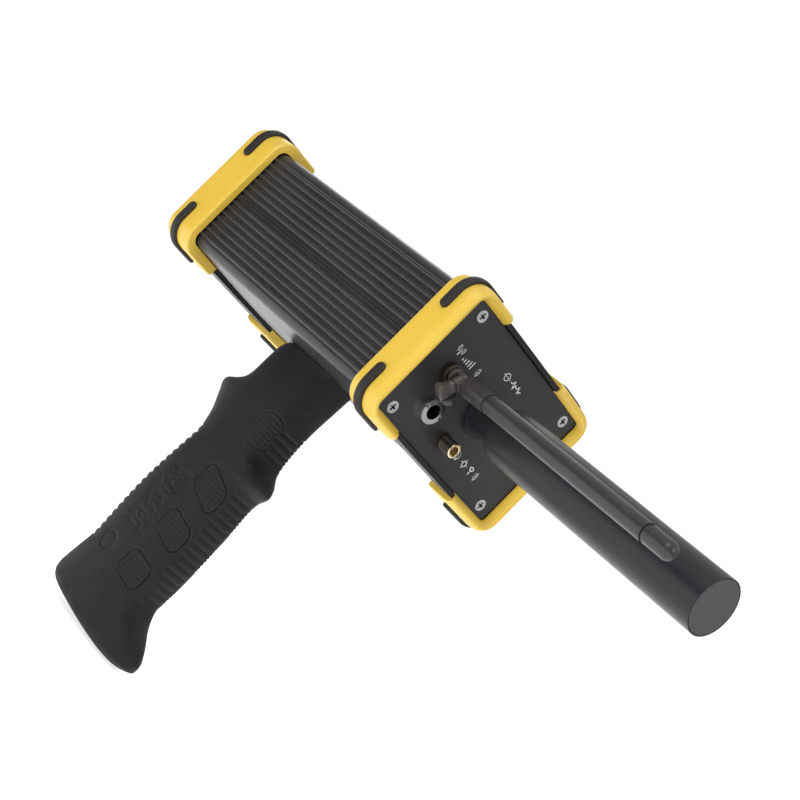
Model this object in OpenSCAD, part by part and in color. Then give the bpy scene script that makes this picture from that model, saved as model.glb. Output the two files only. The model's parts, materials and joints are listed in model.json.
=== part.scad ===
// Hand-held geiger counter: ribbed case on a pistol grip, sensor barrel and folding antenna in front.
// +Y runs from the front panel to the rear panel, +Z is up, X is the width.
// The origin is the middle of the hand grip.

/* [Case] */
// Distance from the front panel's face to the rear panel's face
case_len = 165.5; // [140:0.5:200]
// Width of the case profile without its side ridges
case_w = 93.2; // [90:0.2:110]
// Height of the case profile at its sides
case_h = 55.6; // [54:0.2:58]
// Rise of the case's crowned top and bottom faces at the middle
case_crown = 1.2; // [0.4:0.1:2]
// Rise of the panels' upper and lower edges at the middle
panel_crown = 0.3; // [0.2:0.1:0.8]
// Rise of the bumpers' upper and lower faces at the middle
bumper_crown = 0.5; // [0.3:0.1:1]
// Wall thickness of the case halves
wall = 2; // [1.6:0.1:2.4]
// Distance between neighbouring side ridges
ridge_pitch = 3.24; // [3:0.02:3.3]
// Ridges on each side of each case half
ridge_count = 7; // [3:1:7]

/* [Bumpers] */
// Length of a front bumper along the case
bumper_len = 16.5; // [14:0.5:20]
// Length of a rear bumper along the case
rear_bumper_len = 21; // [14:0.5:24]
// Height of a bumper's lip in front of the panel's face
lip_h = 3.5; // [2.5:0.5:5]
// Width over the bumpers
bumper_w = 103; // [100:1:118]
// Height over the bumpers at their sides
bumper_h = 66; // [65:0.2:72]
// Distance from the case's middle to the left bumpers' arms
arm_left = 27.3; // [15:0.1:30]
// Distance from the case's middle to the right bumpers' arms
arm_right = 20.4; // [15:0.1:30]
// Width of a rubber strip
strip_w = 4.4; // [3:0.2:5]

/* [Front panel] */
// Distance between the panel screws across the case
screw_dx = 76; // [70:1:78]
// Distance between the panel screws up the case
screw_dz = 47.9; // [44:0.1:48.5]
// Place of the antenna's axis across the panel
antenna_x = -30; // [-31:0.1:-27]
// Place of the antenna's axis up the panel
antenna_z = 1; // [-1:0.5:4]
// Place of the phones jack across the panel
phones_x = -23.3; // [-26:0.1:-20]
// Place of the phones jack up the panel
phones_z = -14; // [-15:0.5:-13]
// Place of the positioning connector across the panel
position_x = -5; // [-8:0.5:4]
// Place of the positioning connector up the panel
position_z = -18.3; // [-19:0.1:-17]

/* [Sensor] */
// Radius of the sensor barrel
barrel_r = 11.65; // [10:0.05:14]
// Distance from the panel's face to the barrel's far end
barrel_end = 135.2; // [110:0.2:160]
// Distance from the panel's face to the barrel's near end
barrel_start = 17.5; // [14:0.5:24]

/* [Antenna] */
// Radius of the antenna rod
rod_r = 3.8; // [3:0.1:4.2]
// Distance from the panel's face to the tip of the rod
rod_end = 130.5; // [90:0.5:140]
// Distance from the panel's face to the fold hinge
hinge_y = 8; // [8:0.1:12]
// Tilt of the fold hinge from the vertical
hinge_tilt = 25; // [0:1:45]

/* [Grip] */
// Distance from the front panel's face to the middle of the grip
grip_y = 82; // [70:1:100]
// Distance from the case's middle down to the middle of the grip
grip_z = 112; // [105:1:120]
// Width of the grip at its widest
grip_w = 31.5; // [28:0.5:36]

/* [Hidden] */
$fn = 64;

gap = 0.1;                          // clearance between pieces that are fixed together
panel_t = 2.5;                      // panel thickness
shoulder_t = 1.5;                   // bezel shoulder between panel and case end
case_y0 = panel_t + shoulder_t + 2 * gap;
case_y1 = case_len - case_y0;
ridge_h = 0.9;                      // how far a ridge stands out of the case's side
ridge_r = 1.05;
seam = 0.12;                        // half of the gap between the case halves
boss_r = 3.7;
screw_r = 1.3;
screw_head_r = 2.6;
screw_head_h = 1.35;
bezel_wall = 1.5;
bezel_front = 1.8;                  // bezel's height in front of the panel's face
bezel_h = 61.2;                     // height of the bare bezel between the bumper arms
open_w = 91;                        // opening that frames a panel
open_h = 57.2;
lip_over = 0.5;                     // how far the bumpers' lips reach over a panel's upper and lower edge
cuff_t = 0.5;                       // thickness of the cuff that closes a bumper on the case
bezel_w = case_w + 2 * ridge_h + 0.2 + 2 * bezel_wall;
bezel_outer = case_h + 0.6 + 2 * bezel_wall;
strip_y = 5.5;                      // middle of a rubber strip behind the panel's face
strip_proud = 1.6;
strip_side = 15;                    // where a strip's side arm ends, from the case's middle
strip_top = 29.5;                   // where a strip's upper or lower arm ends
bore_phones = 3.2;                  // 6.35 mm plug
board_z = -10;                      // middle of the main board
board_t = 1.6;
front_y0 = 40;                      // where the modules on the main board start
coax_r = 1.2;
hinge_r = 2.4;                      // radius of the hinge barrel
hinge_hole = 1.05;
ear_high = [0.5, 2.2];              // the upper ear, from the antenna's axis up the hinge
ear_low = [-12, -3.6];              // the lower ear
tongue = [-3.5, 0.4];               // the tongue between them
sleeve_end = 26.5;                  // distance from the panel's face to the end of the sleeve
rod_cap = 14.5;                     // length of the domed tip
button_x = 27;
button_pitch = 12;
button_r = 4.4;
rocker_x = -10;
rocker_z = -20;
rocker_pivot = 3.5;                 // depth of the rocker's pivot behind the panel's face
rocker_tilt = 8;
window_x = -10;
window_z = 3;
window_w = 48;
window_h = 30;

// Places the case's own frame, whose origin is the middle of the front panel's face.
module at_case() translate([0, -grip_y, grip_z]) children();
// The same at the rear panel, turned so that its face looks to the rear.
module at_rear() at_case() translate([0, case_len, 0]) mirror([0, 1, 0]) children();
// Extrudes a profile drawn across the case from y0 to y1.
module run_y(y0, y1) translate([0, y1, 0]) rotate([90, 0, 0]) linear_extrude(y1 - y0) children();
// A cylinder along the case, from y0 to y1.
module rod_y(y0, y1, r) translate([0, y0, 0]) rotate([-90, 0, 0]) cylinder(r = r, h = y1 - y0);
// A cone along the case, from radius r0 at y0 to radius r1 at y1.
module cone_y(y0, y1, r0, r1)
    translate([0, y0, 0]) rotate([-90, 0, 0]) cylinder(r1 = r0, r2 = r1, h = y1 - y0);
// A box from one corner to the other.
module span(low, high) translate(low) cube(high - low);

// One quarter of a crowned rectangle: a round corner, then the long arc up to the middle.
function quarter(w, h, c, r) = let (
        big = (w * w / 4 + c * c) / (2 * c),
        mid_z = h / 2 + c - big,
        cx = w / 2 - r,
        cz = mid_z + sqrt((big - r) * (big - r) - cx * cx),
        turn = atan2(cz - mid_z, cx)
    ) concat(
        [for (i = [0 : 7]) [cx + r * cos(turn * i / 8), cz + r * sin(turn * i / 8)]],
        [for (i = [0 : 6]) let (a = turn + (90 - turn) * i / 6) [big * cos(a), mid_z + big * sin(a)]]
    );
function crowned(w, h, c, r) = let (q = quarter(w, h, c, r), n = len(q) - 1) concat(
        q,
        [for (i = [n - 1 : -1 : 0]) [-q[i][0], q[i][1]]],
        [for (i = [0 : n]) [-q[i][0], -q[i][1]]],
        [for (i = [n - 1 : -1 : 0]) [q[i][0], -q[i][1]]]
    );
module crowned_rect(w, h, r, c = case_crown) polygon(crowned(w, h, c, r));

// ---- case halves -------------------------------------------------------------------------
module case_profile() {
    difference() {
        union() {
            difference() {
                union() {
                    crowned_rect(case_w, case_h, 4);
                    for (side = [-1, 1], i = [-ridge_count : ridge_count]) if (i != 0)
                        translate([side * (case_w / 2 + ridge_h - ridge_r), i * ridge_pitch])
                            circle(r = ridge_r, $fn = 24);
                    for (side = [-1, 1], half = [-1, 1])
                        translate([side * (case_w / 2 - 0.3) - 1, half * (seam + 0.45) - 0.45])
                            square([2, 0.9]);
                }
                crowned_rect(case_w - 2 * wall, case_h - 2 * wall, 2.5);
            }
            for (sx = [-1, 1], sz = [-1, 1]) intersection() {
                translate([sx * screw_dx / 2, sz * screw_dz / 2]) circle(r = boss_r);
                crowned_rect(case_w - 1, case_h - 1, 3.5);
            }
        }
        for (sx = [-1, 1], sz = [-1, 1])
            translate([sx * screw_dx / 2, sz * screw_dz / 2]) circle(r = screw_r + 0.05);
    }
}
module housing_upper() color([0.16, 0.16, 0.17]) at_case() run_y(case_y0, case_y1) {
    intersection() {
        case_profile();
        translate([-case_w, seam]) square([2 * case_w, case_h]);
    }
    for (side = [-1, 1])
        translate([side * (case_w / 2 - wall - 0.6) - 0.5, -2]) square([1, 4.5]);
    for (side = [-1, 1])
        translate([side * (case_w / 2 - wall) - 0.8, 1.2]) square([1.6, 1.3]);
}
module housing_lower() color([0.15, 0.15, 0.16]) at_case() difference() {
    run_y(case_y0, case_y1) {
        intersection() {
            case_profile();
            translate([-case_w, -seam - case_h]) square([2 * case_w, case_h]);
        }
        for (side = [-1, 1], z = [board_z - board_t / 2 - 1.3, board_z + board_t / 2 + gap])
            translate([side * (case_w / 2 - wall - 1) - 1.2, z]) square([2.4, 1.2]);
    }
    for (sx = [-6.4, 6.4], sy = [-8.4, 13.4])
        translate([sx, grip_y + sy, -case_h]) cylinder(r = 1.6, h = case_h);
}

// ---- bezels, bumpers and strips ----------------------------------------------------------
module bezel(len) difference() {
    union() {
        run_y(0, len - lip_h - cuff_t - gap) crowned_rect(bezel_w, bezel_outer, 5);
        run_y(-bezel_front, len - lip_h) intersection() {
            crowned_rect(bezel_w, bezel_h, 4, 0.3);
            translate([0.2 - arm_left, -case_h]) square([arm_left + arm_right - 0.4, 2 * case_h]);
        }
    }
    run_y(-bezel_front - 1, panel_t + gap) crowned_rect(open_w, open_h, 2.6, panel_crown);
    run_y(panel_t, case_y0) crowned_rect(open_w - 4, open_h - 6, 2, panel_crown);
    run_y(case_y0 - gap, len) crowned_rect(case_w + 2 * ridge_h + 0.2, case_h + 0.2, 4.1);
}
module front_bezel() color([0.13, 0.13, 0.14]) at_case() bezel(bumper_len);
module rear_bezel() color([0.13, 0.13, 0.14]) at_rear() bezel(rear_bumper_len);

module strip_ring(grow) run_y(strip_y - strip_w / 2 - grow, strip_y + strip_w / 2 + grow) difference() {
    crowned_rect(bumper_w + 2 * strip_proud, bumper_h + 2 * strip_proud, 11.1, bumper_crown);
    crowned_rect(bumper_w - 2 - 2 * grow, bumper_h - 2 - 2 * grow, 8.5, bumper_crown);
}
module strips(grow) for (sx = [-1, 1], sz = [-1, 1]) intersection() {
    strip_ring(grow);
    scale([sx, 1, sz]) span([strip_top - grow, -5, strip_side - grow], [bumper_w, 20, bumper_h]);
}
module bumper_pair(len) difference() {
    run_y(-lip_h, len - lip_h) crowned_rect(bumper_w, bumper_h, 9.5, bumper_crown);
    run_y(-gap, len - lip_h - cuff_t) crowned_rect(bezel_w + 0.2, bezel_outer + 0.2, 5.1);
    run_y(-gap, len) crowned_rect(case_w + 2 * ridge_h + 0.3, case_h + 0.3, 4.2);
    run_y(-2 * lip_h, 0) crowned_rect(open_w, open_h - 2 * lip_over, 2.2, panel_crown);
    span([-arm_left, -2 * lip_h, -case_h], [arm_right, len, case_h]);
    strips(0.05);
}
module bumper(side, len) intersection() {
    bumper_pair(len);
    scale([side, 1, 1]) span([0, -2 * lip_h, -case_h], [bumper_w, len, case_h]);
}
module bumper_front_left() color([0.96, 0.76, 0.12]) at_case() bumper(-1, bumper_len);
module bumper_front_right() color([0.96, 0.76, 0.12]) at_case() bumper(1, bumper_len);
module bumper_rear_left() color([0.96, 0.76, 0.12]) at_rear() bumper(-1, rear_bumper_len);
module bumper_rear_right() color([0.96, 0.76, 0.12]) at_rear() bumper(1, rear_bumper_len);
module front_bumper_strips() color([0.2, 0.19, 0.18]) at_case() strips(0);
module rear_bumper_strips() color([0.2, 0.19, 0.18]) at_rear() strips(0);

// ---- panels ------------------------------------------------------------------------------
module each_screw() for (sx = [-1, 1], sz = [-1, 1])
    translate([sx * screw_dx / 2, 0, sz * screw_dz / 2]) children();
module panel_blank() difference() {
    run_y(0, panel_t) crowned_rect(open_w - 0.8, open_h - 0.8, 2.2, panel_crown);
    each_screw() {
        rod_y(-1, panel_t + 1, screw_r + 0.15);
        cone_y(-0.01, screw_head_h + 0.06, screw_head_r + 0.1, screw_r + 0.1);
    }
}
module front_panel() color([0.19, 0.19, 0.2]) at_case() difference() {
    panel_blank();
    rod_y(-1, panel_t + 1, 6.6);
    translate([antenna_x, 0, antenna_z]) rod_y(-1, panel_t + 1, 3.3);
    translate([phones_x, 0, phones_z]) rod_y(-1, panel_t + 1, 4);
    translate([position_x, 0, position_z]) rod_y(-1, panel_t + 1, 3);
}
module rear_panel() color([0.19, 0.19, 0.2]) at_rear() difference() {
    panel_blank();
    span([window_x - window_w / 2, -1, window_z - window_h / 2],
         [window_x + window_w / 2, 1.2, window_z + window_h / 2]);
    span([window_x - window_w / 2 + 2, -1, window_z - window_h / 2 + 2],
         [window_x + window_w / 2 - 2, panel_t + 1, window_z + window_h / 2 - 2]);
    for (i = [-1 : 1]) translate([button_x, 0, i * button_pitch]) rod_y(-1, panel_t + 1, button_r + 0.1);
    span([rocker_x - 6.6, -1, rocker_z - 4.1], [rocker_x + 6.6, panel_t + 1, rocker_z + 4.1]);
    translate([12, 0, rocker_z]) rod_y(-1, panel_t + 1, 1.55);
}
module panel_screw() difference() {
    union() {
        cone_y(0, screw_head_h, screw_head_r, screw_r);
        rod_y(screw_head_h, 16, screw_r);
    }
    for (turn = [0, 90]) rotate([0, turn, 0]) span([-1.55, -1, -0.42], [1.55, 1.1, 0.42]);
}
module front_panel_screws() color([0.85, 0.85, 0.86]) at_case() each_screw() panel_screw();
module rear_panel_screws() color([0.85, 0.85, 0.86]) at_rear() each_screw() panel_screw();

// ---- antenna -----------------------------------------------------------------------------
module at_antenna() at_case() translate([antenna_x, 0, antenna_z]) children();
// The hinge's own frame: its axis is local Z, at the fold.
module at_hinge() at_antenna() translate([0, -hinge_y, 0]) rotate([0, hinge_tilt, 0]) children();
module antenna_jack() color([0.8, 0.66, 0.35]) at_antenna() difference() {
    union() {
        rod_y(-1, 9, 3.17);
        rod_y(panel_t + gap, 5.2, 5);
    }
    rod_y(-2, 1.5, 2);
}
module antenna_coupling() color([0.8, 0.66, 0.35]) at_antenna() difference() {
    rod_y(-3.2, -gap, 4.3);
    rod_y(-1.2, 0, 3.25);
    rod_y(-4, -1.1, 2.55);
}
module antenna_base() color([0.36, 0.33, 0.31]) difference() {
    union() {
        at_antenna() rod_y(-5, -3.3, 3.2);
        at_antenna() rod_y(-3.4, -1.3, 2.5);
        for (ear = [ear_high, ear_low]) at_hinge() {
            translate([0, 0, ear[0]]) cylinder(r = hinge_r, h = ear[1] - ear[0]);
            span([-hinge_r, 0, max(ear[0], -9)], [hinge_r, hinge_y - 4.4, ear[1]]);
        }
        at_hinge() translate([5.2, 0.5, -6.2]) rotate([0, 90, 0]) cylinder(r = 3.2, h = 2.6, center = true);
        at_hinge() span([0, -1.5, -8], [5, 1.5, -4.4]);
    }
    at_hinge() translate([0, 0, -9.1]) cylinder(r = hinge_hole, h = 18);
}
module antenna_hinge_pin() color([0.7, 0.7, 0.72]) at_hinge()
    translate([0, 0, -9]) cylinder(r = 1, h = 9 + ear_high[1]);
module antenna_knuckle() color([0.2, 0.2, 0.21]) difference() {
    union() {
        at_hinge() translate([0, 0, tongue[0]]) cylinder(r = hinge_r, h = tongue[1] - tongue[0]);
        at_hinge() span([-2, -4, tongue[0]], [2, 0, tongue[1]]);
        at_antenna() rod_y(-hinge_y - 9, -hinge_y - 3.2, 2.4);
    }
    at_hinge() translate([0, 0, -5]) cylinder(r = hinge_hole, h = 10);
}
module antenna_sleeve() color([0.2, 0.2, 0.21]) at_antenna() difference() {
    union() {
        rod_y(-sleeve_end, -hinge_y - 4.8, rod_r + 0.4);
        cone_y(-hinge_y - 4.8, -hinge_y - 3.4, rod_r + 0.4, rod_r - 0.8);
    }
    rod_y(-sleeve_end - 1, 0, 2.45);
    at_hinge_span();
}
// The space that the tongue fills in the sleeve's end.
module at_hinge_span() translate([0, -hinge_y, 0]) rotate([0, hinge_tilt, 0])
    span([-2.1, -4.1, tongue[0] - 0.1], [2.1, 0, tongue[1] + 0.1]);
module antenna_rod() color([0.22, 0.22, 0.23]) at_antenna() difference() {
    rod_y(-rod_end + rod_cap, -sleeve_end - gap, rod_r);
    rod_y(-rod_end, 0, 2.45);
}
module antenna_tip() color([0.22, 0.22, 0.23]) at_antenna() {
    rod_y(-rod_end + rod_r, -rod_end + rod_cap - 1.3, rod_r - 0.1);
    rod_y(-rod_end + rod_cap - 1.4, -rod_end + rod_cap - gap, rod_r - 0.5);
    rod_y(-rod_end + rod_cap - 1, -rod_end + rod_cap + 4, 2.4);
    translate([0, -rod_end + rod_r, 0]) sphere(r = rod_r - 0.1);
}
module antenna_element() color([0.8, 0.6, 0.3]) at_antenna()
    rod_y(-rod_end + rod_cap + 4.1, -hinge_y - 9.1, 1);

// ---- sensor ------------------------------------------------------------------------------
module sensor_neck() color([0.14, 0.14, 0.15]) at_case() difference() {
    union() {
        rod_y(-barrel_start - 3, 10, 6.5);
        rod_y(-barrel_start + gap, -gap, 7.5);
        rod_y(-2.5, -gap, 9.5);
    }
    rod_y(-barrel_start - 4, 11, 1.4);
}
module sensor_neck_nut() color([0.75, 0.75, 0.76]) at_case() difference() {
    rotate([0, 30, 0]) translate([0, panel_t + gap, 0]) rotate([-90, 0, 0]) cylinder(r = 10, h = 4, $fn = 6);
    rod_y(0, 10, 6.55);
}
module sensor_barrel() color([0.2, 0.2, 0.21]) at_case() difference() {
    rod_y(-barrel_end, -barrel_start, barrel_r);
    rod_y(-barrel_end - 1, -barrel_start - 3, barrel_r - 1.2);
    rod_y(-barrel_end - 1, -barrel_end + 1.6, barrel_r - 0.45);
    rod_y(-barrel_end, 0, 6.6);
}
module sensor_end_cap() color([0.33, 0.32, 0.34]) at_case() {
    rod_y(-barrel_end, -barrel_end + 1.5, barrel_r - 0.55);
    rod_y(-barrel_end + 1.4, -barrel_end + 5, barrel_r - 1.3);
}
module gm_tube() color([0.7, 0.7, 0.72]) at_case() {
    rod_y(-118, -38, 7.5);
    rod_y(-122, -118, 3);
    rod_y(-38, -34, 3);
}
module gm_tube_contacts() color([0.8, 0.66, 0.35]) at_case() for (y = [-124, -36.5]) difference() {
    rod_y(y, y + 4.5, 4);
    rod_y(y + (y < -100 ? 1.5 : -1), y + (y < -100 ? 5 : 3), 3.05);
}
module gm_tube_rings() color([0.3, 0.3, 0.32]) at_case() for (y = [-108, -56]) difference() {
    rod_y(y, y + 8, barrel_r - 1.3);
    rod_y(y - 1, y + 9, 7.6);
}

// ---- sockets -----------------------------------------------------------------------------
module at_phones() at_case() translate([phones_x, 0, phones_z]) children();
module phones_jack() color([0.8, 0.8, 0.82]) at_phones() difference() {
    rod_y(-2.8, 9, 3.9);
    rod_y(-3.5, 10, bore_phones);
}
module phones_nut() color([0.88, 0.88, 0.9]) at_phones() difference() {
    rod_y(-2.6, -gap, 5.3);
    rod_y(-3, 1, 3.95);
    span([-6, -3, -0.5], [6, -1.8, 0.5]);
}
module phones_jack_body() color([0.12, 0.12, 0.13]) at_phones() difference() {
    span([-6, panel_t + gap, -6], [6, 30, 6]);
    rod_y(0, 9.2, 4);
    rod_y(0, 27, bore_phones);
}
module at_position() at_case() translate([position_x, 0, position_z]) children();
module positioning_connector() color([0.86, 0.72, 0.42]) at_position() difference() {
    union() {
        rod_y(-8, -1, 3.17);
        rod_y(-1.1, 9, 2.9);
        rod_y(-0.6, -gap, 4);
    }
    rod_y(-9, -2, 1.9);
}
module positioning_nut() color([0.86, 0.72, 0.42]) at_position() difference() {
    translate([0, panel_t + gap, 0]) rotate([-90, 0, 0]) cylinder(r = 4.6, h = 2.2, $fn = 6);
    rod_y(0, 8, 2.95);
}

// ---- electronics -------------------------------------------------------------------------
board_top = board_z + board_t / 2;
module main_board() color([0.08, 0.35, 0.16]) at_case()
    span([-case_w / 2 + wall + 0.3, 34, board_z - board_t / 2], [case_w / 2 - wall - 0.3, 142, board_top]);
module high_voltage_module() color([0.2, 0.2, 0.22]) at_case() {
    span([-13, front_y0, board_top], [13, front_y0 + 26, board_top + 1.6]);
    span([-11, front_y0, board_top + 1.6], [11, front_y0 + 20, board_top + 12]);
}
module receiver_module() color([0.7, 0.7, 0.72]) at_case()
    span([-36, front_y0, board_top], [-17, front_y0 + 26, board_top + 13]);
module positioning_module() color([0.1, 0.2, 0.4]) at_case()
    span([-14, front_y0, board_z - board_t / 2 - 11], [4, front_y0 + 20, board_z - board_t / 2]);
module buzzer() color([0.1, 0.1, 0.1]) at_case() difference() {
    translate([28, front_y0 + 14, board_top]) cylinder(r = 9, h = 9);
    translate([28, front_y0 + 14, board_top + 7]) cylinder(r = 1.5, h = 3);
}
module battery_holder() color([0.12, 0.12, 0.12]) at_case() difference() {
    span([-22, 72, board_top], [22, 141, board_top + 14]);
    span([-20.5, 73.5, board_top + 1.5], [20.5, 139.5, board_top + 15]);
}
module battery_cells() color([0.2, 0.45, 0.65]) at_case() for (sx = [-1, 1])
    translate([sx * 10.2, 0, board_top + 11.2]) rod_y(74, 139, 9.2);
module sensor_lead() color([0.3, 0.2, 0.15]) at_case() rod_y(-31.9, front_y0 - gap, coax_r);
module antenna_lead() color([0.3, 0.2, 0.15]) at_antenna() rod_y(9.1, front_y0 - gap, coax_r);
module positioning_lead() color([0.3, 0.2, 0.15]) at_position() rod_y(9.1, front_y0 - gap, coax_r);

// ---- rear controls -----------------------------------------------------------------------
module display_window() color([0.1, 0.12, 0.14]) at_rear()
    span([window_x - window_w / 2 + 0.1, 0.2, window_z - window_h / 2 + 0.1],
         [window_x + window_w / 2 - 0.1, 1.2, window_z + window_h / 2 - 0.1]);
module display_module() color([0.15, 0.3, 0.2]) at_rear() {
    span([window_x - window_w / 2, 5, window_z - window_h / 2], [window_x + window_w / 2, 6.6, window_z + window_h / 2]);
    span([window_x - window_w / 2 + 2.2, 1.4, window_z - window_h / 2 + 2.2],
         [window_x + window_w / 2 - 2.2, 5, window_z + window_h / 2 - 2.2]);
}
module button_board() color([0.08, 0.35, 0.16]) at_rear() {
    span([button_x - 7, 9.5, -button_pitch - 7], [button_x + 7, 11.1, button_pitch + 7]);
    for (i = [-1 : 1]) span([button_x - 3, 7.6, i * button_pitch - 3], [button_x + 3, 9.5, i * button_pitch + 3]);
}
module button(i) color([0.85, 0.65, 0.1]) at_rear() translate([button_x, 0, i * button_pitch]) {
    rod_y(-1.6, panel_t + 0.3, button_r);
    rod_y(panel_t + 0.05, 4.2, 5.6);
    rod_y(4.2, 6.3, 1.6);
}
module button_up() button(1);
module button_enter() button(0);
module button_down() button(-1);
module at_rocker() at_rear() translate([rocker_x, 0, rocker_z]) children();
module power_switch_frame() color([0.08, 0.08, 0.08]) at_rocker() difference() {
    union() {
        span([-7.6, -0.8, -4.6], [7.6, -0.05, 4.6]);
        span([-6.5, -0.05, -4], [6.5, 11, 4]);
    }
    span([-5.5, -1, -3], [5.5, 8.5, 3]);
    translate([0, rocker_pivot, -3.8]) cylinder(r = 0.85, h = 7.6);
}
module power_rocker() color([0.6, 0.08, 0.06]) at_rocker() translate([0, rocker_pivot, 0]) {
    rotate([0, 0, rocker_tilt]) translate([0, 0, -2.9]) linear_extrude(5.8)
        polygon([[-4.7, 2.7], [4.7, 2.7], [4.7, -5.3], [0, -4.65], [-4.7, -5.3]]);
    translate([0, 0, -3.7]) cylinder(r = 0.8, h = 7.4);
}
module status_lamp() color([0.2, 0.8, 0.3]) at_rear() translate([12, 0, rocker_z]) {
    rod_y(-0.6, 5, 1.5);
    rod_y(panel_t + 0.05, 4, 2);
}

// ---- grip --------------------------------------------------------------------------------
// Each level of the grip: height in the case's frame, front and rear edge, half width.
GRIP_LEVELS = [
    [-29.2, 63.5, 105.8, grip_w / 2 - 1.8], [-58, 65, 106.6, grip_w / 2 - 1.4],
    [-76, 63, 105.6, grip_w / 2 - 0.9], [-84, 58, 104.3, grip_w / 2 - 0.5],
    [-92, 59.5, 105, grip_w / 2 - 0.5], [-118, 58, 106.4, grip_w / 2], [-140, 57.2, 105.4, grip_w / 2 - 0.5],
    [-156, 53, 107.2, grip_w / 2 - 0.9], [-169, 48.5, 107.4, grip_w / 2 - 1.6],
    [-174.5, 57, 99, grip_w / 2 - 5.5]
];
// A round-cornered oval with half widths a across and b along.
function oval(a, b) = [for (i = [0 : 39]) let (c = cos(i * 9), s = sin(i * 9))
    [a * sign(c) * pow(abs(c), 0.7), b * sign(s) * pow(abs(s), 0.7)]];
module grip_level(level) translate([0, (level[1] + level[2]) / 2, level[0]]) linear_extrude(0.01)
    polygon(oval(level[3], (level[2] - level[1]) / 2));
module grip_body() for (i = [0 : len(GRIP_LEVELS) - 2]) hull() {
    grip_level(GRIP_LEVELS[i]);
    grip_level(GRIP_LEVELS[i + 1]);
}
module grip_horn() hull() {
    translate([0, 112, -62]) rotate([0, 90, 0]) cylinder(r = 3.5, h = 10, center = true, $fn = 24);
    translate([0, 118, -60]) rotate([0, 90, 0]) cylinder(r = 2.6, h = 8, center = true, $fn = 24);
    translate([0, 100, -62]) rotate([0, 90, 0]) cylinder(r = 10, h = 18, center = true, $fn = 24);
}
module grip_toe() hull() {
    translate([0, 44.5, -168]) rotate([0, 90, 0]) cylinder(r = 5, h = 14, center = true, $fn = 24);
    translate([0, 62, -165]) rotate([0, 90, 0]) cylinder(r = 8.5, h = 22, center = true, $fn = 24);
}
module grip_space() {
    span([-9, 71, -160], [9, 97.6, -36]);
    span([-10, 69.5, -36.1], [10, 99.5, -28]);
}
module grip_cover() color([0.11, 0.11, 0.12]) at_case() difference() {
    union() {
        grip_body();
        grip_horn();
        grip_toe();
    }
    grip_space();
    translate([0, 84, -180]) cylinder(r = 6, h = 20);
}
module grip_core() color([0.18, 0.18, 0.2]) at_case() difference() {
    span([-8.9, 71.1, -159.9], [8.9, 97.5, -36.2]);
    translate([0, 84, -166]) cylinder(r = 6, h = 112);
    translate([0, 84, -60]) cylinder(r = 3.1, h = 30);
}
module grip_adapter() color([0.5, 0.5, 0.52]) at_case() difference() {
    span([-9.9, 69.6, -36], [9.9, 99.4, -29]);
    translate([0, 84, -40]) cylinder(r = 3.05, h = 12);
    for (sx = [-6.4, 6.4], sy = [-8.4, 13.4]) translate([sx, grip_y + sy, -40]) cylinder(r = 1.35, h = 20);
}
module adapter_screws() color([0.75, 0.75, 0.76]) at_case()
    for (sx = [-6.4, 6.4], sy = [-8.4, 13.4]) translate([sx, grip_y + sy, 0]) {
        translate([0, 0, -34]) cylinder(r = 1.3, h = 8);
        translate([0, 0, -26.4]) cylinder(r = 2.7, h = 1.8);
    }
module grip_bolt() color([0.3, 0.3, 0.32]) at_case() translate([0, 84, 0]) difference() {
    union() {
        translate([0, 0, -62]) cylinder(r = 3, h = 30);
        translate([0, 0, -66]) cylinder(r = 5, h = 4.1);
    }
    translate([0, 0, -67]) cylinder(r = 2.4, h = 4, $fn = 6);
}
module grip_washer() color([0.75, 0.75, 0.76]) at_case() translate([0, 84, -61.8]) difference() {
    cylinder(r = 5.6, h = 1.4);
    translate([0, 0, -1]) cylinder(r = 3.1, h = 4);
}

housing_upper();
housing_lower();
front_bezel();
rear_bezel();
bumper_front_left();
bumper_front_right();
bumper_rear_left();
bumper_rear_right();
front_bumper_strips();
rear_bumper_strips();
front_panel();
rear_panel();
front_panel_screws();
rear_panel_screws();
antenna_jack();
antenna_coupling();
antenna_base();
antenna_hinge_pin();
antenna_knuckle();
antenna_sleeve();
antenna_rod();
antenna_tip();
antenna_element();
sensor_neck();
sensor_neck_nut();
sensor_barrel();
sensor_end_cap();
gm_tube();
gm_tube_contacts();
gm_tube_rings();
phones_jack();
phones_nut();
phones_jack_body();
positioning_connector();
positioning_nut();
main_board();
high_voltage_module();
receiver_module();
positioning_module();
buzzer();
battery_holder();
battery_cells();
sensor_lead();
antenna_lead();
positioning_lead();
display_window();
display_module();
button_board();
button_up();
button_down();
button_enter();
power_switch_frame();
power_rocker();
status_lamp();
grip_adapter();
adapter_screws();
grip_cover();
grip_core();
grip_bolt();
grip_washer();
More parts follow.
